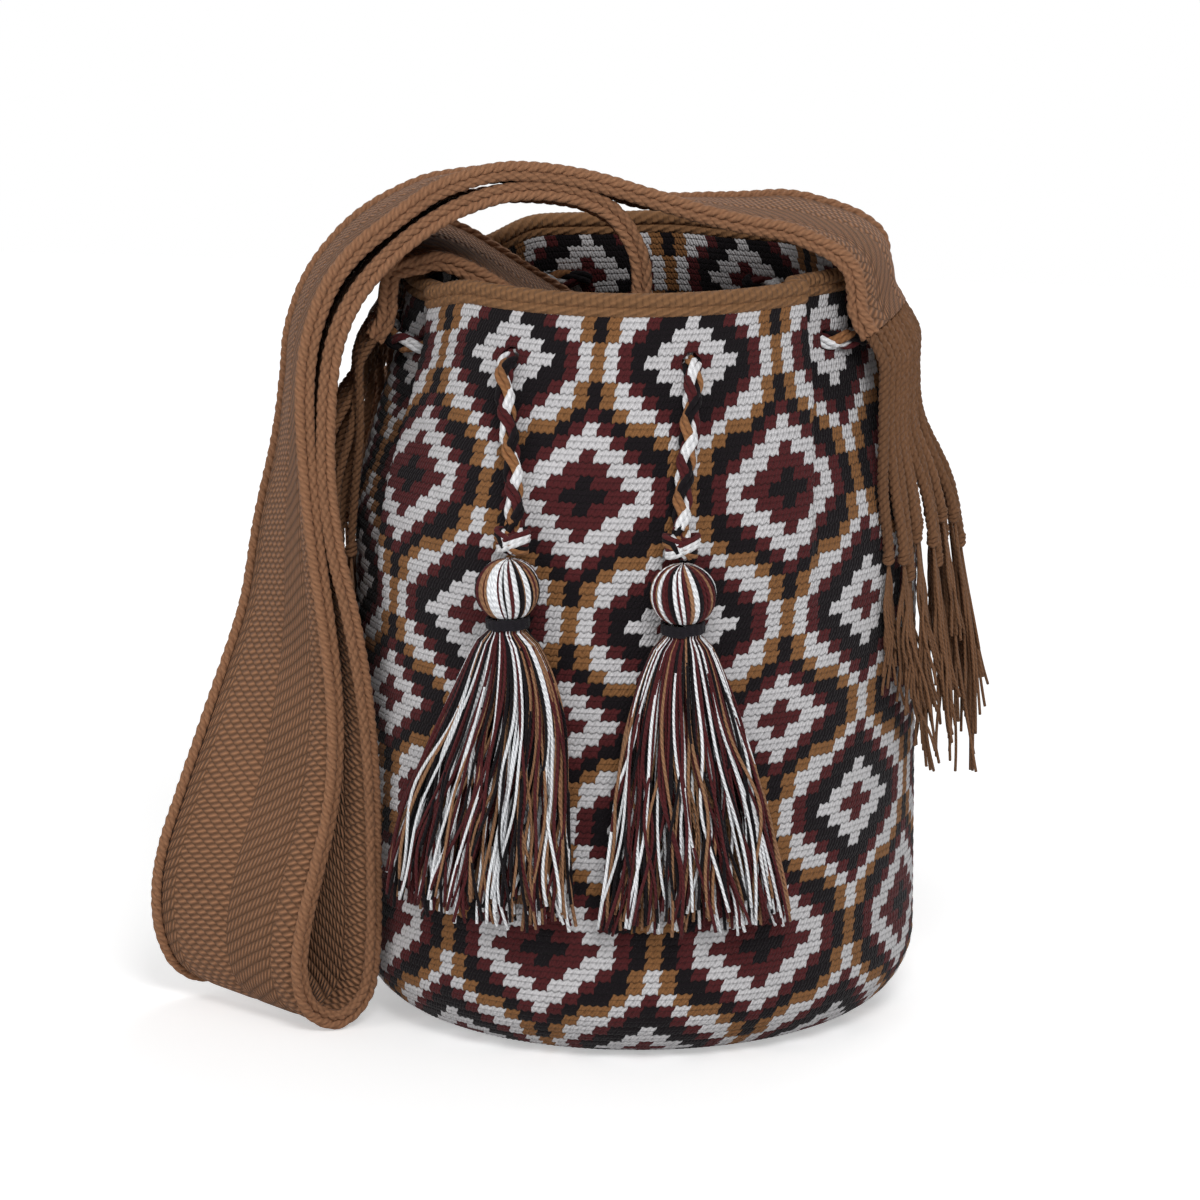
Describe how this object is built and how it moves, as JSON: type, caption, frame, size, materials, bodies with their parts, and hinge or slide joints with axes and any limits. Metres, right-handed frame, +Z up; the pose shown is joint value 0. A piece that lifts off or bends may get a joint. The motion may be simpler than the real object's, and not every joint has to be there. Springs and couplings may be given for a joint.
{
  "type": "crocheted mochila bag",
  "caption": "Crocheted bucket bag with a woven shoulder strap, a braided drawstring through the mouth and hanging tassels.",
  "frame": {"origin": "centre of the flat base, on the surface the bag stands on", "axes": "+Z up through the mouth, -Y towards the front with the tassels, +X towards the right strap seam"},
  "size_m": [0.3291, 0.246, 0.3474],
  "materials": {
    "crochet": "cotton yarn crocheted in rounds, cream, black, maroon and brown in stepped diamonds",
    "rim_yarn": "brown cotton yarn, crocheted border",
    "strap_yarn": "brown cotton yarn, woven in chevrons, with plaited edges and twisted fringe",
    "cord_yarn": "cotton yarns of four colours, braided round",
    "tassel_yarn": "loose cotton yarns of four colours",
    "binding_yarn": "black cotton yarn, wound tight"
  },
  "bodies": {
    "bag": {"bag_body": "crochet", "rim_edging": "rim_yarn", "shoulder_strap": "strap_yarn", "drawstring": "cord_yarn", "fringe_left_01": "strap_yarn", "fringe_left_02": "strap_yarn", "fringe_left_03": "strap_yarn", "fringe_left_04": "strap_yarn", "fringe_left_05": "strap_yarn", "fringe_left_06": "strap_yarn", "fringe_left_07": "strap_yarn", "fringe_left_08": "strap_yarn", "fringe_right_01": "strap_yarn", "fringe_right_02": "strap_yarn", "fringe_right_03": "strap_yarn", "fringe_right_04": "strap_yarn", "fringe_right_05": "strap_yarn", "fringe_right_06": "strap_yarn", "fringe_right_07": "strap_yarn", "fringe_right_08": "strap_yarn", "tassel_left_knot": "cord_yarn", "tassel_right_knot": "cord_yarn"},
    "left_tassel": {"tassel_left": "tassel_yarn", "tassel_left_binding": "binding_yarn"},
    "right_tassel": {"tassel_right": "tassel_yarn", "tassel_right_binding": "binding_yarn"}
  },
  "joints": [
    {"name": "tassel_left_swing", "type": "hinge", "parent": "bag", "child": "left_tassel", "pos_m": [-0.02916, -0.11696, 0.211], "axis": [-0.9703, 0.2419, 0], "range_deg": [0, 80]},
    {"name": "tassel_right_swing", "type": "hinge", "parent": "bag", "child": "right_tassel", "pos_m": [0.03625, -0.11496, 0.211], "axis": [-0.9537, -0.3007, 0], "range_deg": [0, 80]}
  ]
}
